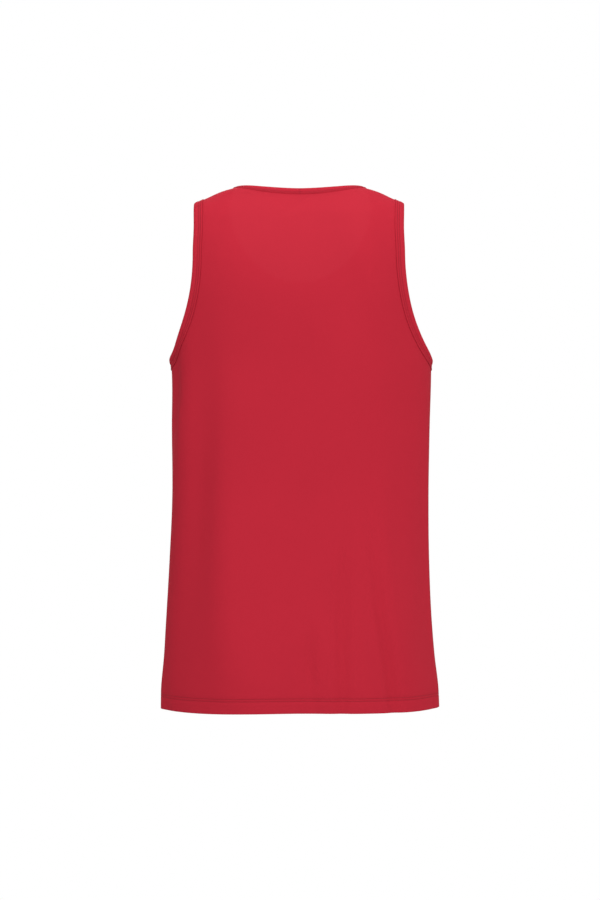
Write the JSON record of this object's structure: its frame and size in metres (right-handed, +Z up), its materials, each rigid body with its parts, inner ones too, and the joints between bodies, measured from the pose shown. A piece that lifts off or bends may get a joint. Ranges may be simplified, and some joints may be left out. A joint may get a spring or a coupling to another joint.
{
  "type": "basketball jersey",
  "caption": "Sleeveless jersey of plain red knit, filled out with no wearer: high back neck, deep round front neck, bound neckline and armholes, turned-up hem.",
  "frame": {"origin": "between the shoulders, level with the middle of the shoulder seams, where a wearer carries the garment", "axes": "+Z up from hem to shoulders, -Y out of the front, +X to the wearer's left"},
  "size_m": [0.3902, 0.2533, 0.7309],
  "materials": {
    "back_panel_knit": "fine smooth knit, red, no gloss",
    "front_panel_knit": "fine smooth knit, red, no gloss",
    "neck_binding_knit": "folded strip of the same knit, a little darker",
    "left_armhole_binding_knit": "folded strip of the same knit, a little darker",
    "right_armhole_binding_knit": "folded strip of the same knit, a little darker"
  },
  "bodies": {
    "root": {"back_panel": "back_panel_knit", "front_panel": "front_panel_knit", "neck_binding": "neck_binding_knit", "left_armhole_binding": "left_armhole_binding_knit", "right_armhole_binding": "right_armhole_binding_knit"}
  },
  "joints": []
}
